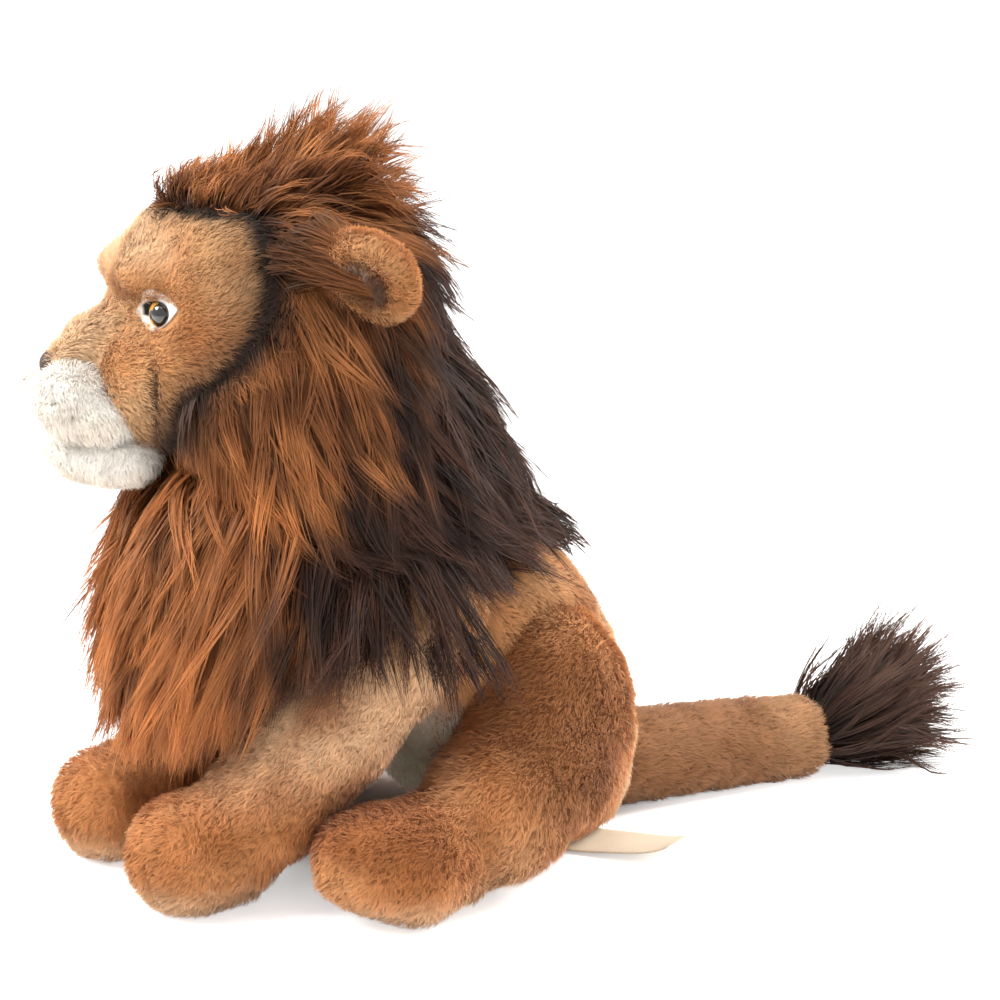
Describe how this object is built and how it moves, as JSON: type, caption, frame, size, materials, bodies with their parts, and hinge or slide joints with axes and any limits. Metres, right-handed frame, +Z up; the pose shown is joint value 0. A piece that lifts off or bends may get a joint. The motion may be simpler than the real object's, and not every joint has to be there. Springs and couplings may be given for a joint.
{
  "type": "plush lion",
  "caption": "Sitting stuffed lion toy with a long-haired mane, sewn-on limbs, safety eyes, folding ears and a tufted tail.",
  "frame": {"origin": "middle of the flat seat under the torso, on the surface that the toy sits on", "axes": "+Z up; the toy faces -Y, so its tail lies along +Y, which is its longest extent; +X is its own left side"},
  "size_m": [0.2218, 0.3985, 0.296],
  "materials": {
    "golden_plush": "short soft pile",
    "face_plush": "short soft pile",
    "white_plush": "short soft pile",
    "pale_plush": "short soft pile",
    "rust_hair": "long pile",
    "dark_hair": "long pile",
    "wadding": "loose polyester wadding",
    "pellet_bag": "woven bag",
    "white_felt": "felt",
    "label_cloth": "smooth ribbon",
    "nose_cloth": "satin stitch",
    "eye_plastic": "polished",
    "white_plastic": "moulded"
  },
  "bodies": {
    "torso": {"torso_skin": "golden_plush", "belly_panel": "pale_plush", "torso_wadding": "wadding", "seat_pellet_bag": "pellet_bag", "care_label": "label_cloth", "mane_cape": "dark_hair", "mane_bib": "rust_hair"},
    "head": {"head_skin": "face_plush", "head_wadding": "wadding", "muzzle": "white_plush", "chin": "white_plush", "nose_pad": "nose_cloth", "mane_crown": "rust_hair", "eye_left": "eye_plastic", "eye_washer_left": "white_plastic", "eye_patch_left": "white_felt", "eye_right": "eye_plastic", "eye_washer_right": "white_plastic", "eye_patch_right": "white_felt"},
    "ear_left": {"ear_left": "golden_plush", "ear_lining_left": "rust_hair"},
    "ear_right": {"ear_right": "golden_plush", "ear_lining_right": "rust_hair"},
    "foreleg_left": {"foreleg_skin_left": "golden_plush", "foreleg_wadding_left": "wadding", "foreleg_pellet_bag_left": "pellet_bag"},
    "foreleg_right": {"foreleg_skin_right": "golden_plush", "foreleg_wadding_right": "wadding", "foreleg_pellet_bag_right": "pellet_bag"},
    "hindleg_left": {"hindleg_skin_left": "golden_plush", "hindleg_wadding_left": "wadding", "hindleg_pellet_bag_left": "pellet_bag"},
    "hindleg_right": {"hindleg_skin_right": "golden_plush", "hindleg_wadding_right": "wadding", "hindleg_pellet_bag_right": "pellet_bag"},
    "tail": {"tail_skin": "golden_plush", "tail_wadding": "wadding", "tail_tuft": "dark_hair"}
  },
  "joints": [
    {"name": "head_turn", "type": "hinge", "parent": "torso", "child": "head", "pos_m": [0, -0.1, 0.17], "axis": [0, 0, 1], "range_deg": [-13, 37], "stiffness_Nm_per_rad": 0.6},
    {"name": "ear_left_fold", "type": "hinge", "parent": "head", "child": "ear_left", "pos_m": [0.05221, -0.10185, 0.23795], "axis": [0.2216, 0.6087, -0.7618], "range_deg": [-18, 18], "stiffness_Nm_per_rad": 0.02},
    {"name": "ear_right_fold", "type": "hinge", "parent": "head", "child": "ear_right", "pos_m": [-0.04845, -0.08046, 0.23795], "axis": [0.0451, 0.6462, -0.7618], "range_deg": [-18, 18], "stiffness_Nm_per_rad": 0.02},
    {"name": "foreleg_left_swing", "type": "hinge", "parent": "torso", "child": "foreleg_left", "pos_m": [0.044, -0.08, 0.112], "axis": [-1, 0, 0], "range_deg": [-2, 30], "stiffness_Nm_per_rad": 0.4},
    {"name": "foreleg_right_swing", "type": "hinge", "parent": "torso", "child": "foreleg_right", "pos_m": [-0.044, -0.08, 0.112], "axis": [-1, 0, 0], "range_deg": [-2, 30], "stiffness_Nm_per_rad": 0.4},
    {"name": "hindleg_left_swing", "type": "hinge", "parent": "torso", "child": "hindleg_left", "pos_m": [0.044, -0.028, 0.056], "axis": [-1, 0, 0], "range_deg": [-8, 4], "stiffness_Nm_per_rad": 0.5},
    {"name": "hindleg_right_swing", "type": "hinge", "parent": "torso", "child": "hindleg_right", "pos_m": [-0.044, -0.028, 0.056], "axis": [-1, 0, 0], "range_deg": [-8, 4], "stiffness_Nm_per_rad": 0.5},
    {"name": "tail_swing", "type": "hinge", "parent": "torso", "child": "tail", "pos_m": [0, 0.048, 0.01675], "axis": [0, 0, 1], "range_deg": [-35, 35], "stiffness_Nm_per_rad": 0.15}
  ]
}
